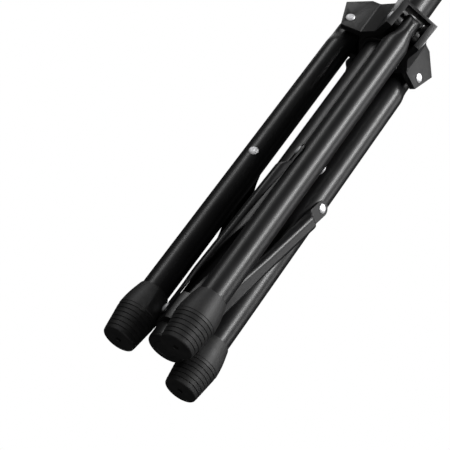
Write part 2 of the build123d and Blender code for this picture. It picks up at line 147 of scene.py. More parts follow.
WHITE = (1.0, 1.0, 1.0, 1.0)
paper = Finish("studio_floor", Specular_IOR_Level=0.1, Emission_Color=WHITE, Emission_Strength=FLOOR_GLOW)
paper_tone = paper.blend(paper.cloud(1.2), (0.30, 0.30, 0.30, 1.0), (0.34, 0.34, 0.34, 1.0))
paper.coat(paper_tone, paper.cloud(40.0) * 0.1 + 0.8)
seen_from_above = paper.node("ShaderNodeLightPath", out="Is Camera Ray") * (
    1.0 - paper.node("ShaderNodeNewGeometry", out="Backfacing")
)
clear = paper.node("ShaderNodeBsdfTransparent")
sockets = {0: seen_from_above, 1: clear, 2: Field(paper, paper.shader.outputs[0])}
shown = paper.node("ShaderNodeMixShader", inputs=sockets)
paper.join(shown, paper.tree.nodes["Material Output"].inputs["Surface"])

floor_mesh = bpy.data.meshes.new("studio_floor")
corners = [(x * FLOOR_REACH, y * FLOOR_REACH, -FLOOR_DROP) for x, y in ((-1, -1), (1, -1), (1, 1), (-1, 1))]
floor_mesh.from_pydata(corners, [], [(0, 1, 2, 3)])
floor_mesh.materials.append(paper.material)
floor = bpy.data.objects.new("studio_floor", floor_mesh)
bpy.context.scene.collection.objects.link(floor)

world = bpy.data.worlds.new("surround")
bpy.context.scene.world = world
world.use_nodes = True
sky = world.node_tree
direct = sky.nodes.new("ShaderNodeLightPath")
glow = sky.nodes["Background"]
glow.inputs["Color"].default_value = WHITE
AMBIENT, BACKDROP = 0.028, 1.0
level = sky.nodes.new("ShaderNodeMapRange")
level.inputs["To Min"].default_value, level.inputs["To Max"].default_value = AMBIENT, BACKDROP
sky.links.new(direct.outputs["Is Camera Ray"], level.inputs["Value"])
sky.links.new(level.outputs["Result"], glow.inputs["Strength"])


def softbox(name, turn, rise, far, wide, tall, power, target=(0.0, 0.0, 0.25)):
    """Area lamp aimed at the target from the given compass turn, rise and distance."""
    lamp = bpy.data.objects.new(name, bpy.data.lights.new(name, "AREA"))
    lamp.data.shape, lamp.data.size, lamp.data.size_y, lamp.data.energy = "RECTANGLE", wide, tall, power
    turn, rise = radians(turn), radians(rise)
    way = Vector((cos(turn) * cos(rise), sin(turn) * cos(rise), sin(rise)))
    lamp.location = Vector(target) + way * far
    lamp.rotation_mode = "QUATERNION"
    lamp.rotation_quaternion = way.to_track_quat("Z", "Y")
    bpy.context.scene.collection.objects.link(lamp)


softbox("lamp_key", -62.0, 32.0, 1.6, 0.22, 1.6, 34.0)
softbox("lamp_fill", -12.0, 28.0, 2.0, 0.6, 1.6, 8.0)
softbox("lamp_back", 96.0, 56.0, 2.0, 1.4, 1.0, 7.0)
softbox("lamp_left", -164.0, 30.0, 2.0, 0.35, 1.6, 11.0)
softbox("lamp_front", -132.0, -12.0, 1.8, 0.16, 0.16, 2.6)
softbox("lamp_low", -80.0, -62.0, 2.2, 0.9, 0.9, 6.5)

# ---------------------------------------------------------------- the outer pole
# One straight 34 mm steel tube with 1.5 mm walls, powder coated satin black. The hub slides on it and the
# bracket is pinned near its lower end.
POLE_R, POLE_WALL, POLE_FOOT, POLE_TOP = 0.017, 0.0015, 0.0142, 0.560
COAT_BLACK, COAT_GREY = (0.0060, 0.0060, 0.0064, 1.0), (0.0125, 0.0125, 0.0130, 1.0)


def soft_corners(points, reach, steps=5):
    """Rounds a closed outline. Each corner p becomes the curve (1-t)^2 a + 2t(1-t) p + t^2 b from t = 0 to 1.

    a and b lie on the corner's two sides, at most reach away from it and never past a side's middle.
    """
    points = np.asarray(points, float)
    reach = np.broadcast_to(np.asarray(reach, float), len(points))[:, None]
    before, after = np.roll(points, 1, 0) - points, np.roll(points, -1, 0) - points
    long_before = np.linalg.norm(before, axis=1, keepdims=True)
    long_after = np.linalg.norm(after, axis=1, keepdims=True)
    start = points + before / long_before * np.minimum(reach, long_before * 0.499)
    end = points + after / long_after * np.minimum(reach, long_after * 0.499)
    t = np.linspace(0.0, 1.0, steps)[None, :, None]
    curve = (1 - t) ** 2 * start[:, None] + 2 * t * (1 - t) * points[:, None] + t ** 2 * end[:, None]
    return curve.reshape(-1, 2)


def skin(name, points, round_rows=False, round_columns=True):
    """Mesh of quads over a grid of points. Rows or columns that go round meet their own start."""
    rows, columns = points.shape[:2]
    index = np.arange(rows * columns).reshape(rows, columns)
    if round_rows:
        index = np.vstack([index, index[:1]])
    if round_columns:
        index = np.hstack([index, index[:, :1]])
    quads = np.stack([index[:-1, :-1], index[:-1, 1:], index[1:, 1:], index[1:, :-1]], -1).reshape(-1, 4)
    mesh = bpy.data.meshes.new(name)
    mesh.vertices.add(rows * columns)
    mesh.vertices.foreach_set("co", points.reshape(-1))
    mesh.loops.add(quads.size)
    mesh.loops.foreach_set("vertex_index", quads.reshape(-1))
    mesh.polygons.add(len(quads))
    mesh.polygons.foreach_set("loop_start", np.arange(len(quads)) * 4)
    mesh.update(calc_edges=True)
    return close_up(mesh)


def close_up(mesh, apart=1e-6):
    """Merges points that meet, at poles and seams, and turns every face outwards."""
    work = bmesh.new()
    work.from_mesh(mesh)
    bmesh.ops.remove_doubles(work, verts=work.verts, dist=apart)
    bmesh.ops.dissolve_degenerate(work, edges=work.edges, dist=apart)
    bmesh.ops.recalc_face_normals(work, faces=work.faces)
    work.to_mesh(mesh)
    work.free()
    mesh.update()
    return mesh


def piece(name, mesh, material, body, stands_for=(), crease=38.0):
    """Puts a mesh in the scene as one piece that rides a body and stands for CAD nodes."""
    mesh.materials.clear()
    mesh.materials.append(material)
    mesh.shade_smooth()
    mesh.set_sharp_from_angle(angle=radians(crease))
    made = bpy.data.objects.new(name, mesh)
    bpy.context.scene.collection.objects.link(made)
    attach(made, body)
    if stands_for:
        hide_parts(*stands_for)
    return made


def turned(name, outline, centre=(0.0, 0.0, 0.0), axis=(0.0, 0.0, 1.0), steps=96):
    """Turned shape: each (radius r, height h) of the outline goes round at centre + h axis + r (cos, sin)."""
    axis = np.asarray(axis, float)
    side = np.cross(axis, (0.0, 0.0, 1.0) if abs(axis[2]) < 0.9 else (1.0, 0.0, 0.0))
    side /= np.linalg.norm(side)
    other = np.cross(axis, side)
    turn = np.linspace(0.0, 2 * pi, steps, endpoint=False)[None, :, None]
    outline = np.asarray(outline, float)
    around = np.cos(turn) * side + np.sin(turn) * other
    points = np.asarray(centre) + outline[:, None, 1:] * axis + outline[:, None, :1] * around
    return skin(name, points, round_rows=True)


def tube_outline(outer, inner, low, high):
    """Section of one tube wall: inner and outer radius between two heights."""
    return [(inner, low), (outer, low), (outer, high), (inner, high)]


def powder_coat(name, base=COAT_BLACK, light=COAT_GREY):
    """Satin powder coat: a fine orange peel, slow shifts of gloss, faint long scuffs and dust."""
    finish = Finish(name, Specular_IOR_Level=0.5, Coat_Roughness=0.25)
    peel = finish.cloud(1500.0, 2.0, 0.55)
    slow = finish.cloud(26.0, 2.0)
    scuffs = finish.spread(finish.cloud(420.0, 4.0, 0.6, (1.0, 1.0, 0.06)), 0.66, 0.76)
    scuffs = scuffs * finish.spread(finish.cloud(18.0), 0.5, 0.72)
    dust = finish.spread(finish.cloud(3800.0, 1.0), 0.68, 0.8)
    share = finish.spread(slow, 0.35, 0.7) * 0.35 + scuffs * 0.55 + dust * 0.25
    colour = finish.blend(share, base, light)
    roughness = 0.30 + slow * 0.10 + peel * 0.05 - scuffs * 0.05
    return finish.coat(colour, roughness, peel + scuffs * -0.25, 0.000010)


black_coat = powder_coat("satin_black_powder_coat")
pole_section = soft_corners(tube_outline(POLE_R, POLE_R - POLE_WALL, POLE_FOOT, POLE_TOP), 0.0005)
pole_mesh = turned("pole_tube_skin", pole_section, steps=128)
piece("pole_tube_skin", pole_mesh, black_coat, "pole", ["pole_tube"])

# ---------------------------------------------------------------- the plug in the pole's foot
# Moulded nylon, pushed into the tube. Its rounded flange covers the tube's cut end, with a small gate mark
# in the middle and a shallow ring around it.
PLUG_FLANGE, PLUG_DEPTH = 0.003, 0.014
plug_low = POLE_FOOT - PLUG_FLANGE
TIGHT = 0.00002
plug_in = POLE_R - POLE_WALL - TIGHT


def nylon(name, base=(0.0065, 0.0065, 0.0070, 1.0), light=(0.015, 0.015, 0.0155, 1.0)):
    """Moulded black nylon: a spark-eroded grain, and a faint bloom that breaks up its shine."""
    finish = Finish(name, Specular_IOR_Level=0.45)
    grain = finish.cells(2400.0)
    bloom = finish.cloud(60.0, 4.0, 0.6)
    colour = finish.blend(finish.spread(bloom, 0.35, 0.75) * 0.7, base, light)
    return finish.coat(colour, 0.32 + bloom * 0.14 + grain * 0.06, grain + bloom * 0.2, 0.00006)


black_nylon = nylon("black_nylon")
plug_outline = soft_corners(
    [(0.0, plug_low + 0.0004), (0.0012, plug_low + 0.0004), (0.0016, plug_low), (0.0088, plug_low),
     (0.0092, plug_low + 0.0005), (0.0104, plug_low + 0.0005), (0.0108, plug_low),
     (POLE_R - 0.0022, plug_low), (POLE_R - 0.0004, plug_low + 0.0006), (POLE_R, plug_low + 0.0022),
     (POLE_R, POLE_FOOT), (plug_in, POLE_FOOT), (plug_in, POLE_FOOT + PLUG_DEPTH),
     (plug_in - 0.0022, POLE_FOOT + PLUG_DEPTH), (plug_in - 0.0022, POLE_FOOT),
     (0.0, POLE_FOOT)], 0.0004)
piece("pole_plug_moulding", turned("pole_plug_moulding", plug_outline), black_nylon, "pole",
      ["pole_plug"])

# ---------------------------------------------------------------- the bracket and its pin
# A steel sleeve with three flats for the struts and a hollow for each foot, coated like the pole. A spring
# pin goes through it and the pole.


def softened(name, node, width, steps=3, flat=2.0, angle=28.0):
    """Copy of a CAD node with sharp edges rounded: faces within flat degrees are made one, then bevelled."""
    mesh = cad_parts[node].data.copy()
    mesh.name = name
    work = bmesh.new()
    work.from_mesh(mesh)
    bmesh.ops.remove_doubles(work, verts=work.verts, dist=2e-6)
    bmesh.ops.dissolve_limit(
        work, angle_limit=radians(flat), verts=work.verts, edges=work.edges, delimit={"NORMAL"})
    sharp = [e for e in work.edges if len(e.link_faces) == 2 and e.calc_face_angle(0.0) > radians(angle)]
    bmesh.ops.bevel(
        work, geom=sharp, offset=width, segments=steps, profile=0.5, affect="EDGES", clamp_overlap=True)
    bmesh.ops.triangulate(work, faces=[f for f in work.faces if len(f.verts) > 4])
    work.to_mesh(mesh)
    work.free()
    return mesh


piece("lower_bracket_sleeve", softened("lower_bracket_sleeve", "lower_bracket", 0.0005), black_coat, "pole",
      ["lower_bracket"], 30.0)


def zinc(name, base=(0.62, 0.62, 0.63, 1.0), dull=(0.42, 0.42, 0.44, 1.0), rough=0.22):
    """Zinc-plated steel: bright, with cloudy plating and fine turned or drawn lines."""
    finish = Finish(name, Metallic=1.0)
    haze = finish.cloud(420.0, 4.0, 0.6)
    lines = finish.cloud(5200.0, 2.0, 0.5, (1.0, 1.0, 0.35))
    colour = finish.blend(finish.spread(haze, 0.3, 0.75), base, dull)
    return finish.coat(colour, rough + haze * 0.14 + lines * 0.05, lines + haze * 0.4, 0.00001)


bright_zinc = zinc("bright_zinc_plating")
rivet_zinc = zinc("bright_rivet_heads", (0.93, 0.93, 0.94, 1.0), (0.78, 0.78, 0.80, 1.0), 0.52)
PIN_R, PIN_BORE_R, PIN_REACH, PIN_Z = 0.0020, 0.0006, 0.0181, 0.0512
pin_outline = soft_corners(tube_outline(PIN_R, PIN_BORE_R, -PIN_REACH, PIN_REACH), 0.0004)
pin_mesh = turned("bracket_spring_pin", pin_outline, (0.0, 0.0, PIN_Z), (1.0, 0.0, 0.0), 40)
piece("bracket_spring_pin", pin_mesh, bright_zinc, "pole", ["bracket_pin"])

# ---------------------------------------------------------------- the hub
# One casting: three forks under a sloping roof, joined by flat webs, with a boss at the back for the lock
# screw. Its edges are rounded by the mould, and it is coated a little coarser than the tubes.


def casting(name):
    """Coated casting: the same black coat over a faintly pitted, slightly wavy cast skin."""
    finish = Finish(name, Specular_IOR_Level=0.5)
    pits = finish.cells(900.0)
    wave = finish.cloud(240.0, 3.0, 0.6)
    slow = finish.cloud(45.0, 2.0)
    share = finish.spread(slow, 0.35, 0.75) * 0.5 + finish.spread(wave, 0.62, 0.75) * 0.3
    colour = finish.blend(share, COAT_BLACK, COAT_GREY)
    return finish.coat(colour, 0.34 + slow * 0.12 + pits * 0.04, wave + pits * 0.35, 0.00010)


cast_coat = casting("satin_black_cast_coat")
piece("hub_casting", softened("hub_casting", "hub_body", 0.0009), cast_coat, "hub",
      ["hub_body"], 30.0)

# ---------------------------------------------------------------- the hub's liner
# A nylon bush pressed into the casting, with a rim at each end. The pole slides in it with 0.3 mm to spare.
HUB_LOW, HUB_HIGH, HUB_BORE, SLIDING = 0.3835, 0.424, 0.0195, 0.0003
RIM_R, RIM_HIGH = HUB_BORE + 0.0014, 0.0016
liner_in = POLE_R + SLIDING
liner_outline = soft_corners(
    [(liner_in, HUB_LOW - RIM_HIGH), (RIM_R, HUB_LOW - RIM_HIGH), (RIM_R, HUB_LOW), (HUB_BORE, HUB_LOW),
     (HUB_BORE, HUB_HIGH), (RIM_R, HUB_HIGH), (RIM_R, HUB_HIGH + RIM_HIGH),
     (liner_in, HUB_HIGH + RIM_HIGH)], 0.0005)
piece("hub_liner_bush", turned("hub_liner_bush", liner_outline), black_nylon, "hub",
      ["hub_liner"])

# ---------------------------------------------------------------- the rivets
# Zinc-plated steel. Each head is a low dome with a shallow dimple left by the riveting tool, over a small
# step where the washer face meets the ear.
FIRST_LEG, LEG_TURN = -90.0, 120.0
LEG_AXIS_R, HUB_PIVOT_Z, STRUT_PIVOT_Z = 0.038, 0.395, 0.217
EAR_OUT, LEG_R = 0.0198, 0.0127
HEAD_R, HEAD_HIGH, SHANK_R = 0.0043, 0.0016, 0.0030


def leg_frame(k):
    """Outward, sideways and up directions of leg k. Sideways points to the strut's side."""
    a = radians(FIRST_LEG + LEG_TURN * (k - 1))
    return np.array([(cos(a), sin(a), 0.0), (sin(a), -cos(a), 0.0), (0.0, 0.0, 1.0)])


def in_leg(k, points):
    """Points given as (outwards, sideways, up) from the pole's axis, turned to leg k's place."""
    return np.asarray(points, float) @ leg_frame(k)


def head_outline(radius, high, count=26):
    """Dome h = high (0.18 + 0.82 (1 - s^2.6) - 0.22 exp(-(s / 0.28)^2)), where s = r / radius."""
    r = radius * np.cos(np.linspace(0.0, pi / 2, count)) ** 0.8
    r[-1] = 0.0
    dimple = 0.22 * high * np.exp(-(r / (0.28 * radius)) ** 2)
    dome = high * (0.18 + 0.82 * (1 - (r / radius) ** 2.6)) - dimple
    return np.column_stack([r, dome])


def rivet_outline(low, high, low_head=True, high_head=True):
    """A shank from low to high with a domed head on one end or both."""
    dome = head_outline(HEAD_R, HEAD_HIGH)
    top = dome + (0.0, high) if high_head else np.array([(SHANK_R, high), (0.0, high)])
    bottom = (dome * (1, -1) + (0.0, low))[::-1] if low_head else np.array([(0.0, low), (SHANK_R, low)])
    waist_low = [(HEAD_R, low), (SHANK_R, low)] if low_head else []
    waist_high = [(SHANK_R, high), (HEAD_R, high)] if high_head else []
    return np.array([*bottom, *waist_low, *waist_high, *top])


def joined(name, meshes):
    """One mesh made of several."""
    work = bmesh.new()
    for mesh in meshes:
        work.from_mesh(mesh)
    whole = bpy.data.meshes.new(name)
    work.to_mesh(whole)
    work.free()
    return whole


hub_rivet = rivet_outline(-EAR_OUT - 0.00005, EAR_OUT + 0.00005)
pivots = [in_leg(k, (LEG_AXIS_R, 0.0, HUB_PIVOT_Z)) for k in (1, 2, 3)]
heads = [turned(f"hub_rivet_{k}", hub_rivet, pivots[k - 1], leg_frame(k)[1], 64) for k in (1, 2, 3)]
piece("hub_pivot_rivets", joined("hub_pivot_rivets", heads), rivet_zinc, "hub", ["hub_rivets"])

# ---------------------------------------------------------------- the spacer bushes
# Short lengths of black nylon tube on the hub's rivets. They keep each leg's narrow end in the middle of
# its fork.
BUSH_R, BUSH_LOW, BUSH_HIGH = 0.0056, 0.00835, 0.01358
bush_outline = soft_corners(tube_outline(BUSH_R, SHANK_R + TIGHT, BUSH_LOW, BUSH_HIGH), 0.0004)
bushes = [turned("bush", bush_outline, pivots[k - 1], side * leg_frame(k)[1], 48)
          for k in (1, 2, 3) for side in (1, -1)]
piece("hub_spacer_bushes", joined("hub_spacer_bushes", bushes), black_nylon, "hub",
      ["hub_spacers"])

# ---------------------------------------------------------------- the legs
# Three 25.4 mm steel tubes. Over 20 mm near its top each is squeezed to an oval 16 mm wide, which ends in a
# round crown about the pivot, so that it turns inside its fork.
LEG_END_R, LEG_END_HALF, LEG_LOW = 0.0123, 0.0080, 0.0086
SQUEEZE_START, SQUEEZE_END = 0.368, 0.388
CROWN_ROUND = 0.0016


def leg_skin(name, k):
    """Closed skin of a leg. Round the tube, u; up it, v: (R + r cos u, b(v) sin u, z(v)).

    b eases from r to the oval's half width over the squeeze. The crown ends at
    z = pivot + sqrt(end^2 - x^2), and
    over it sideways points follow a quarter circle and then run in to the middle.
    """
    u = np.linspace(0.0, 2 * pi, 112, endpoint=False)
    x = LEG_R * np.cos(u)
    crown = HUB_PIVOT_Z + np.sqrt(np.maximum(LEG_END_R ** 2 - x ** 2, 0.0))
    lower = np.concatenate([[LEG_LOW], np.linspace(LEG_LOW + 0.0004, SQUEEZE_START - 0.004, 12)])
    bend = np.linspace(SQUEEZE_START - 0.002, SQUEEZE_END + 0.001, 30)
    heights = np.concatenate([lower, bend])
    t = np.clip((heights - SQUEEZE_START) / (SQUEEZE_END - SQUEEZE_START), 0.0, 1.0)
    half = LEG_R + (LEG_END_HALF - LEG_R) * (3 * t ** 2 - 2 * t ** 3)
    wall = np.stack([np.broadcast_to(x, (len(heights), len(u))), half[:, None] * np.sin(u),
                     np.broadcast_to(heights[:, None], (len(heights), len(u)))], -1)
    rise = np.linspace(0.0, 1.0, 14)[1:, None]
    top = crown - CROWN_ROUND
    up = heights[-1] + (top - heights[-1]) * rise
    end_half = np.broadcast_to(LEG_END_HALF * np.sin(u), up.shape)
    end = np.stack([np.broadcast_to(x, up.shape), end_half, up], -1)
    a = np.linspace(0.0, pi / 2, 7)[1:, None]
    width = np.abs(LEG_END_HALF * np.sin(u))
    inset = np.minimum(CROWN_ROUND, width)
    over = (width - inset * (1 - np.cos(a))) * np.sign(np.sin(u))
    bow = np.stack([np.broadcast_to(x, over.shape), over, top + CROWN_ROUND * np.sin(a)], -1)
    share = np.linspace(1.0, 0.0, 5)[1:, None]
    lid_x, lid_z = np.broadcast_to(x, (4, len(u))), np.broadcast_to(crown, (4, len(u)))
    lid = np.stack([lid_x, share * over[-1], lid_z], -1)
    base = np.stack([np.zeros(len(u)), np.zeros(len(u)), np.full(len(u), LEG_LOW)], -1)[None]
    points = np.concatenate([base, wall, end, bow, lid]) + (LEG_AXIS_R, 0.0, 0.0)
    return skin(name, in_leg(k, points))


for k in (1, 2, 3):
    piece(f"leg_{k}_tube_skin", leg_skin(f"leg_{k}_tube_skin", k), black_coat, f"leg_{k}",
          [f"leg_{k}_tube"], 50.0)

# ---------------------------------------------------------------- the rubber feet
# Moulded rubber, pushed over the tubes. A smooth shoulder widens to a sharp edge, and below it the foot
# tapers with six thin grooves to a flat sole with a rounded edge and a small recess.
FOOT_TOP, FOOT_WIDE_R, FOOT_WIDE_Z, SOLE_R = 0.0535, 0.018, 0.0283, 0.0146
GROOVES, GROOVE_PITCH, GROOVE_DEEP, GROOVE_HIGH = 6, 0.0041, 0.0007, 0.00092
RECESS_R, RECESS_DEEP, FOOT_LIP = 0.0024, 0.0030, 0.0014
GROOVE_EASE, CORNER_POINTS, SOLE_CORNERS = 0.00018, 5, 4


def foot_outline():
    """Outline from the recess, over the sole and the grooved taper, up the bowed shoulder and down inside.

    The sole's last two corners only give its rounded edge a direction, and are dropped.
    """
    lip = LEG_R + FOOT_LIP
    sole = soft_corners([(0.0, RECESS_DEEP), (RECESS_R, RECESS_DEEP), (RECESS_R, 0.0), (SOLE_R, 0.0),
                         (SOLE_R + 0.0002, 0.0022), (0.0, 0.0022)], [0.0, 0.0003, 0.0005, 0.0012, 0.0, 0.0])
    sole = sole[:SOLE_CORNERS * CORNER_POINTS]
    z = FOOT_WIDE_Z - 0.0030 - np.arange(GROOVES)[::-1] * GROOVE_PITCH
    skin_r = SOLE_R + (FOOT_WIDE_R - SOLE_R) * z / FOOT_WIDE_Z
    inset = np.array([0.0, GROOVE_EASE, GROOVE_DEEP, GROOVE_DEEP, GROOVE_EASE, 0.0])
    drop = np.array([1.0, 0.86, 0.70, 0.30, 0.14, 0.0]) * GROOVE_HIGH
    groove = np.stack([skin_r[:, None] - inset, z[:, None] - drop], -1).reshape(-1, 2)
    t = np.linspace(0.0, 1.0, 16)
    shoulder = np.column_stack([
        FOOT_WIDE_R + (lip - FOOT_WIDE_R) * t + 0.0008 * np.sin(pi * t) * (1 - 0.3 * t),
        FOOT_WIDE_Z + 0.0004 + (FOOT_TOP - 0.0012 - FOOT_WIDE_Z) * t])
    edge = [(FOOT_WIDE_R - 0.00035, FOOT_WIDE_Z - 0.0004), (FOOT_WIDE_R, FOOT_WIDE_Z)]
    rim = [(lip - 0.0002, FOOT_TOP - 0.0002), (lip - 0.0007, FOOT_TOP), (LEG_R + TIGHT, FOOT_TOP - 0.0003),
           (LEG_R + TIGHT, 0.0070), (0.0, 0.0070)]
    return np.vstack([sole, groove, edge, shoulder[1:], rim])


def moulded_rubber(name, base=(0.0085, 0.0085, 0.0090, 1.0), dusty=(0.024, 0.0236, 0.0228, 1.0)):
    """Moulded rubber: matte, finely pitted, with a dusty bloom that gathers in blotches."""
    finish = Finish(name, Specular_IOR_Level=0.45)
    pits = finish.cells(3000.0)
    grain = finish.cloud(2600.0, 3.0, 0.6)
    bloom = finish.cloud(110.0, 5.0, 0.65)
    share = finish.spread(bloom, 0.42, 0.75) * 0.75 + finish.spread(grain, 0.55, 0.8) * 0.2
    colour = finish.blend(share, base, dusty)
    return finish.coat(colour, 0.46 + bloom * 0.16, grain * 0.5 + pits * 0.5, 0.00005)


foot_rubber = moulded_rubber("moulded_black_rubber")
foot_section = foot_outline()
for k in (1, 2, 3):
    foot_mesh = turned(f"leg_{k}_foot_moulding", foot_section, in_leg(k, (LEG_AXIS_R, 0.0, 0.0)), steps=112)
    piece(f"leg_{k}_foot_moulding", foot_mesh, foot_rubber, f"leg_{k}", [f"leg_{k}_foot"])

# ---------------------------------------------------------------- the washers in the feet
# A stamped steel washer lies under each tube's end, so that the tube doesn't cut through the rubber.
washer_outline = soft_corners(tube_outline(LEG_R, 0.0030, 0.0070, 0.0086), 0.0003)
for k in (1, 2, 3):
    washer_mesh = turned(f"leg_{k}_washer", washer_outline, in_leg(k, (LEG_AXIS_R, 0.0, 0.0)))
    piece(f"leg_{k}_washer", washer_mesh, bright_zinc, f"leg_{k}", [f"leg_{k}_tip_washer"])

# ---------------------------------------------------------------- the struts
# Pressed from 1.5 mm steel strip: a flat rounded ear at each end, a short step up, and between them a channel
# whose web is bowed for stiffness and whose open side faces the leg. Coated like the tubes.
STRUT_PLATE, STRUT_HALF = 0.0015, 0.0072
TOP_EAR_R, FOOT_EAR_R, TOP_RUN, TOP_STEP = 0.0072, 0.0064, 0.0145, 0.0070
FOOT_RUN, FOOT_SLOPE, SKIRT_FLAT = 0.0155, 0.0300, 0.0450
EAR_IN, FOOT_EAR_IN = LEG_R + 0.00035, 0.01895
WEB_OUT = EAR_IN + 0.0089
BRACKET_PIVOT_Z = 0.041
STRUT_LONG = sqrt(LEG_AXIS_R ** 2 + (STRUT_PIVOT_Z - BRACKET_PIVOT_Z) ** 2)
STRUT_BOW, CHANNEL_START = 0.0052, 0.02


def eased(x, start, end):
    """0 before start, 1 after end, and 3t^2 - 2t^3 between."""
    t = np.clip((x - start) / (end - start), 0.0, 1.0)
    return 3 * t ** 2 - 2 * t ** 3


def in_strut(k, points):
    """Points given as (along from the leg's pivot, across, sideways from the leg), put in strut k's place."""
    points = np.asarray(points, float)
    down = np.array([-LEG_AXIS_R, 0.0, BRACKET_PIVOT_Z - STRUT_PIVOT_Z]) / STRUT_LONG
    across = np.array([-down[2], 0.0, down[0]])
    place = points[..., :1] * down + points[..., 1:2] * across + points[..., 2:] * np.array([0.0, 1.0, 0.0])
    return in_leg(k, place + np.array([LEG_AXIS_R, 0.0, STRUT_PIVOT_Z]))


def strut_surface(inset):
    """One side of the pressed strip, as a grid: x along it, and a path across it between its skirt edges.

    The path goes up a skirt to h(x) - q, round an elliptical quarter of reach q and height q, and over the
    web to the other side. h runs from ear to ear with a step at each end, and the half width follows the
    round ears.
    Where the web has hardly risen there is no skirt, only the strip's own edge.
    """
    x_top, x_foot = TOP_RUN, STRUT_LONG - FOOT_RUN
    ear_start = np.sin(np.linspace(-pi / 2, 0.0, 14)) * (TOP_EAR_R - inset)
    ear_end = STRUT_LONG + np.sin(np.linspace(0.0, pi / 2, 14)) * (FOOT_EAR_R - inset)
    x = np.concatenate([
        ear_start, np.linspace(0.0, x_top - 0.003, 7)[1:],
        np.linspace(x_top - 0.002, x_top + TOP_STEP + 0.002, 22),
        np.linspace(x_top + TOP_STEP + 0.004, x_foot - FOOT_SLOPE - 0.002, 40),
        np.linspace(x_foot - FOOT_SLOPE, x_foot + 0.002, 30), np.linspace(x_foot + 0.003, STRUT_LONG, 7)[:-1],
        ear_end])[:, None]
    rise = eased(x, x_top - 0.0012, x_top + TOP_STEP + 0.0012)
    fall = eased(x, x_foot - FOOT_SLOPE, x_foot + 0.0012)
    way = np.clip((x - x_top) / (STRUT_LONG - SKIRT_FLAT - x_top), 0.0, 1.0)
    edge = EAR_IN + (FOOT_EAR_IN - EAR_IN) * way
    ear = np.where(x < STRUT_LONG / 2, EAR_IN, FOOT_EAR_IN) + STRUT_PLATE
    raised = rise * (1 - fall)
    height = ear + (WEB_OUT - ear) * raised - inset
    round_ear = np.sqrt(np.maximum((TOP_EAR_R - inset) ** 2 - np.minimum(x, 0.0) ** 2, 0.0))
    beyond = np.maximum(x - STRUT_LONG, 0.0)
    round_foot = np.sqrt(np.maximum((FOOT_EAR_R - inset) ** 2 - beyond ** 2, 0.0))
    narrow = eased(x, x_foot, STRUT_LONG - 0.006)
    body = (STRUT_HALF - inset) * (1 - narrow) + (FOOT_EAR_R - inset) * narrow
    half = np.where(x < 0, round_ear, np.where(x > STRUT_LONG, round_foot, body))
    flat_edge = height if inset else height - STRUT_PLATE
    low = np.where(raised > CHANNEL_START, edge, flat_edge)
    q = np.minimum((STRUT_BOW - inset * 0.6) * raised, np.maximum(height - low, 0.0))
    reach = np.minimum(q, half)
    s = np.linspace(0.0, 1.0, 6)[None, :-1]
    a = np.linspace(0.0, pi / 2, 9)[None, :]
    m = np.linspace(0.0, 1.0, 9)[None, 1:]
    skirt_y, skirt_h = -half + 0 * s, low + (height - q - low) * s
    arc_y, arc_h = -half + reach * (1 - np.cos(a)), height - q + q * np.sin(a)
    mid_y, mid_h = (-half + reach) * (1 - m), height + 0 * m
    y = np.hstack([skirt_y, arc_y, mid_y])
    h = np.hstack([skirt_h, arc_h, mid_h])
    y, h = np.hstack([y, -y[:, -2::-1]]), np.hstack([h, h[:, -2::-1]])
    return np.stack([np.broadcast_to(x, y.shape), y, h], -1)


def strut_skin(name, k):
    """Closed skin of a strut: its outer and inner sides joined along their edges."""
    outer, inner = strut_surface(0.0), strut_surface(STRUT_PLATE)
    loop = np.concatenate([outer, inner[:, ::-1]], axis=1)
    return skin(name, in_strut(k, loop))


for k in (1, 2, 3):
    piece(f"strut_{k}_pressing", strut_skin(f"strut_{k}_pressing", k), black_coat, f"link_{k}",
          [f"strut_{k}"], 40.0)

# ---------------------------------------------------------------- the strut rivets
# The upper rivet goes through the leg and the strut's ear and has a head on each side. The lower one holds
# the ear against the bracket's flat.
leg_rivet = rivet_outline(-LEG_R - 0.00003, EAR_IN + STRUT_PLATE + 0.00005)
RIVET_TAIL = 0.0000875
foot_rivet = rivet_outline(FOOT_EAR_IN - RIVET_TAIL, FOOT_EAR_IN + STRUT_PLATE + 0.00005, low_head=False)
for k in (1, 2, 3):
    sideways = leg_frame(k)[1]
    upper = turned(f"leg_{k}_rivet", leg_rivet, in_leg(k, (LEG_AXIS_R, 0.0, STRUT_PIVOT_Z)), sideways, 64)
    piece(f"leg_{k}_rivet", upper, rivet_zinc, f"leg_{k}", [f"leg_{k}_strut_rivet"])
    lower = turned(f"strut_{k}_rivet", foot_rivet, in_leg(k, (0.0, 0.0, BRACKET_PIVOT_Z)), sideways, 64)
    piece(f"strut_{k}_rivet", lower, rivet_zinc, f"link_{k}", [f"strut_{k}_foot_rivet"])

# ---------------------------------------------------------------- the collar and liner at the pole's mouth
# A nylon collar caps the pole. A boss on its front takes the screw that clamps the mast, and a thin sleeve
# inside the pole guides it.
piece("clamp_collar_moulding", softened("clamp_collar_moulding", "clamp_collar", 0.0006), black_nylon, "pole",
      ["clamp_collar"], 30.0)
MAST_R, MAST_WALL, MAST_FOOT, MAST_TOP, SLEEVE_LONG = 0.014, 0.0015, 0.300, 0.640, 0.034
sleeve_outline = soft_corners(
    tube_outline(POLE_R - POLE_WALL - TIGHT, MAST_R + 0.0001, POLE_TOP - SLEEVE_LONG, POLE_TOP), 0.0003)
piece("pole_guide_sleeve", turned("pole_guide_sleeve", sleeve_outline), black_nylon, "pole",
      ["pole_liner"])

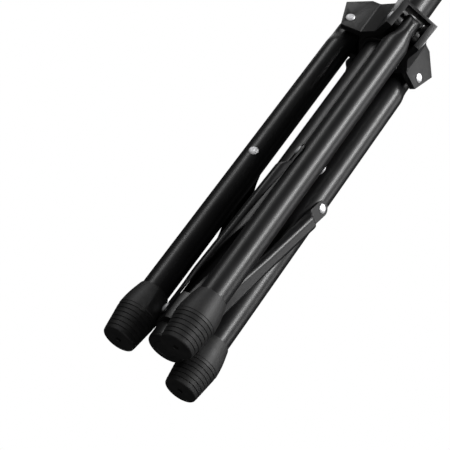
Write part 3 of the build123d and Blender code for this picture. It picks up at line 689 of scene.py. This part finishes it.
# ---------------------------------------------------------------- the mast
# A 28 mm steel tube that slides out of the pole. A nylon glide closes its lower end and runs in the pole,
# and a nylon cap on its top holds the rest's stem.
mast_outline = soft_corners(tube_outline(MAST_R, MAST_R - MAST_WALL, MAST_FOOT, MAST_TOP), 0.0005)
piece("mast_tube_skin", turned("mast_tube_skin", mast_outline), black_coat, "mast",
      ["mast_tube"])
GLIDE_R, GLIDE_HIGH, CAP_HIGH, CAP_SKIRT, CAP_WALL, STEM_R = 0.0152, 0.030, 0.012, 0.014, 0.0025, 0.009
RUNNING = 0.00006
mast_in = MAST_R - MAST_WALL - TIGHT
glide_outline = soft_corners(
    [(0.0, MAST_FOOT - 0.006), (GLIDE_R - 0.001, MAST_FOOT - 0.006), (GLIDE_R, MAST_FOOT - 0.005),
     (GLIDE_R, MAST_FOOT - TIGHT), (mast_in, MAST_FOOT - TIGHT), (mast_in, MAST_FOOT + GLIDE_HIGH),
     (mast_in - 0.002, MAST_FOOT + GLIDE_HIGH), (mast_in - 0.002, MAST_FOOT), (0.0, MAST_FOOT)], 0.0003)
piece("mast_glide_plug", turned("mast_glide_plug", glide_outline), black_nylon, "mast",
      ["mast_glide"])
cap_r = MAST_R + CAP_WALL
cap_outline = soft_corners(
    [(STEM_R + RUNNING, MAST_TOP - CAP_SKIRT), (mast_in, MAST_TOP - CAP_SKIRT), (mast_in, MAST_TOP + TIGHT),
     (cap_r, MAST_TOP + TIGHT), (cap_r, MAST_TOP + CAP_HIGH * 0.36),
     (cap_r - 0.0006, MAST_TOP + CAP_HIGH * 0.42),
     (cap_r - 0.0006, MAST_TOP + CAP_HIGH * 0.52), (cap_r, MAST_TOP + CAP_HIGH * 0.58),
     (cap_r, MAST_TOP + CAP_HIGH - 0.0015), (cap_r - 0.0015, MAST_TOP + CAP_HIGH),
     (STEM_R + RUNNING, MAST_TOP + CAP_HIGH)], 0.0004)
piece("mast_cap_moulding", turned("mast_cap_moulding", cap_outline), black_nylon, "mast",
      ["mast_cap"])

# ---------------------------------------------------------------- the rest's stem, saddle and rod
# A nylon stem turns in the cap under a round disc. A steel saddle on the disc grips a 10 mm rod bent to a V.
disc_low = MAST_TOP + CAP_HIGH + 0.00035
DISC_R, DISC_HIGH = 0.019, 0.009
disc_top = disc_low + DISC_HIGH
stem_outline = soft_corners(
    [(0.0, MAST_TOP - CAP_SKIRT), (STEM_R, MAST_TOP - CAP_SKIRT), (STEM_R, disc_low), (DISC_R, disc_low),
     (DISC_R, disc_low + 0.003), (DISC_R - 0.0006, disc_low + 0.0035), (DISC_R - 0.0006, disc_top - 0.0035),
     (DISC_R, disc_top - 0.003), (DISC_R, disc_top), (0.0, disc_top)],
    [0.0, 0.0005, 0.0, 0.0012, 0.0002, 0.0002, 0.0002, 0.0002, 0.0012, 0.0])
piece("yoke_stem_disc", turned("yoke_stem_disc", stem_outline), black_nylon, "yoke",
      ["yoke_stem"])
piece("yoke_saddle_block", softened("yoke_saddle_block", "yoke_saddle", 0.0006), cast_coat, "yoke",
      ["yoke_saddle"], 30.0)

ROD_R, ROD_CHAMFER, YOKE_BEND = 0.005, 0.0006, 0.009
YOKE_BASE, YOKE_FOOT_HALF, YOKE_TOP_HALF, YOKE_TALL = 0.668, 0.018, 0.040, 0.062


def yoke_line():
    """The V's centre line in the XZ plane: straight arms and foot, with a YOKE_BEND arc at each corner."""
    rise = np.arctan2(YOKE_TALL, YOKE_TOP_HALF - YOKE_FOOT_HALF)
    setback = YOKE_BEND * np.tan(rise / 2)
    turn = np.linspace(0.0, rise, 14)
    arc = np.column_stack([
        YOKE_FOOT_HALF - setback + YOKE_BEND * np.sin(turn), YOKE_BASE + YOKE_BEND * (1 - np.cos(turn))])
    arm = np.linspace(arc[-1], (YOKE_TOP_HALF, YOKE_BASE + YOKE_TALL), 12)[1:]
    foot = np.column_stack([np.linspace(0.0, arc[0, 0], 6)[:-1], np.full(5, YOKE_BASE)])
    right = np.vstack([foot, arc, arm])
    return np.vstack([right[::-1] * (-1, 1), right[1:]])


def bent_rod(name, line, radius, steps=40):
    """Rod round a line in the XZ plane: each ring lies across the line, and the ends have a small chamfer."""
    way = np.gradient(line, axis=0)
    way /= np.linalg.norm(way, axis=1, keepdims=True)
    across = np.column_stack([-way[:, 1], way[:, 0]])
    start, end = line[:1], line[-1:]
    line = np.vstack([start, start, start + way[:1] * ROD_CHAMFER, line[1:-1],
                      end - way[-1:] * ROD_CHAMFER, end, end])
    across = np.vstack([across[:1]] * 2 + [across] + [across[-1:]] * 2)
    size = np.full(len(line), radius)
    size[[0, -1]], size[[1, -2]] = 0.0, radius - ROD_CHAMFER
    a = np.linspace(0.0, 2 * pi, steps, endpoint=False)[None]
    out = size[:, None] * np.cos(a)
    points = np.stack([
        line[:, :1] + across[:, :1] * out, size[:, None] * np.sin(a), line[:, 1:] + across[:, 1:] * out], -1)
    return skin(name, points)


piece("yoke_bent_rod", bent_rod("yoke_bent_rod", yoke_line(), ROD_R), black_coat, "yoke",
      ["yoke_rod"])

# ---------------------------------------------------------------- the rubber sleeves on the V
# Ribbed rubber sleeves pushed over the arms, with domed closed ends, so that the rest doesn't scratch what
# lies in it.
GRIP_WALL, GRIP_LONG, GRIP_RIBS, RIB_DEEP = 0.0026, 0.046, 11, 0.0007


def grip_outline():
    """Sleeve, open end first: r = outer - RIB_DEEP w^6, w = (1 - cos) / 2 once a rib, then a round end."""
    outer, inner = ROD_R + GRIP_WALL, ROD_R + TIGHT
    h = np.linspace(0.0014, GRIP_LONG - 0.002, 220)
    wave = np.clip(0.5 - 0.5 * np.cos(2 * pi * GRIP_RIBS * (h - h[0]) / (h[-1] - h[0])), 0.0, 1.0) ** 6
    side = np.column_stack([outer - RIB_DEEP * wave, h])
    a = np.linspace(0.0, pi / 2, 16)
    dome = np.column_stack([outer * np.cos(a), GRIP_LONG + outer * np.sin(a)])
    hollow = [(0.0, GRIP_LONG), (inner, GRIP_LONG), (inner, 0.0)]
    return np.vstack([hollow, [(outer - 0.0008, 0.0), (outer - 0.0002, 0.0003), (outer, 0.0009)], side, dome])


arm_tilt = np.arctan2(YOKE_TOP_HALF - YOKE_FOOT_HALF, YOKE_TALL)
for name, side in (("yoke_grip_left", -1), ("yoke_grip_right", 1)):
    along = np.array([side * np.sin(arm_tilt), 0.0, np.cos(arm_tilt)])
    foot = np.array([side * YOKE_TOP_HALF, 0.0, YOKE_BASE + YOKE_TALL]) + along * (0.0001 - GRIP_LONG)
    grip_mesh = turned(f"{name}_sleeve", grip_outline(), foot, along, 56)
    piece(f"{name}_sleeve", grip_mesh, foot_rubber, "yoke", [name])

# ---------------------------------------------------------------- the lock knobs and their screws
# Two like knobs of moulded nylon, with six finger lobes, on plated screws. One screw presses on the pole
# through the hub, the other on the mast through the collar.
KNOB_R, KNOB_HIGH, KNOB_NOSE, NOSE_R, KNOB_LOBES, LOBE_DEEP = 0.015, 0.015, 0.0025, 0.008, 6, 0.082
SCREW_R, SCREW_BITE, THREAD_DEEP = 0.004, 0.012, 0.00042
HUB_KNOB_REACH, MAST_KNOB_REACH, COLLAR_SCREW_Z = 0.056, 0.050, 0.5686


def knob_skin(name, centre, axis):
    """Lobed knob: r = profile(h) x (1 - LOBE_DEEP share (1 - cos 6u)), from the outer face inwards.

    The outer face is dished with a raised middle button. The lobes fade towards the middle.
    """
    u = np.linspace(0.0, 2 * pi, 144, endpoint=False)
    outline = soft_corners(
        [(0.0, 0.0002), (0.0046, 0.0002), (0.0050, 0.0012), (0.0098, 0.0012), (0.0108, 0.0), (KNOB_R, 0.0),
         (KNOB_R, KNOB_HIGH), (NOSE_R, KNOB_HIGH), (NOSE_R, KNOB_HIGH + KNOB_NOSE),
         (0.0, KNOB_HIGH + KNOB_NOSE)],
        [0.0, 0.0004, 0.0004, 0.0006, 0.0006, 0.0022, 0.0022, 0.0005, 0.0006, 0.0], 7)
    r, h = outline[:, :1], outline[:, 1:]
    share = np.clip((r - 0.0085) / (KNOB_R - 0.0085), 0.0, 1.0)
    lobes = 1 - LOBE_DEEP * share * (1 - np.cos(KNOB_LOBES * u))
    axis = np.asarray(axis, float)
    side = np.array([1.0, 0.0, 0.0])
    other = np.cross(axis, side)
    around = np.cos(u)[None, :, None] * side + np.sin(u)[None, :, None] * other
    points = np.asarray(centre) - h[:, :, None] * axis + (r * lobes)[:, :, None] * around
    return skin(name, points)


def screw_outline(start, end, pitch=0.00125):
    """Rolled thread: r = SCREW_R - depth x a rounded groove, as rings a pitch apart, with a chamfered tip."""
    h = np.linspace(start + 0.0012, end, int((end - start) / pitch * 8))
    ring = SCREW_R - THREAD_DEEP * (0.5 - 0.5 * np.cos(2 * pi * h / pitch))
    return np.vstack([[(0.0, start), (SCREW_R - 0.0012, start)], np.column_stack([ring, h]), [(0.0, end)]])


knobs = (
    ("hub_lock", "hub_knob", HUB_KNOB_REACH, 1.0, HUB_PIVOT_Z, POLE_R),
    ("mast_clamp", "mast_knob", MAST_KNOB_REACH, -1.0, COLLAR_SCREW_Z, MAST_R),
)
for name, body, reach, side, z, tube_r in knobs:
    axis = np.array([0.0, side, 0.0])
    knob_mesh = knob_skin(f"{name}_knob_moulding", axis * reach + (0.0, 0.0, z), axis)
    piece(f"{name}_knob_moulding", knob_mesh, black_nylon, body, [f"{name}_knob"])
    thread = screw_outline(tube_r + 0.0004, reach - KNOB_HIGH - KNOB_NOSE + SCREW_BITE - TIGHT)
    screw_mesh = turned(f"{name}_screw_thread", thread, (0.0, 0.0, z), axis, 40)
    piece(f"{name}_screw_thread", screw_mesh, bright_zinc, body, [f"{name}_screw"], 60.0)
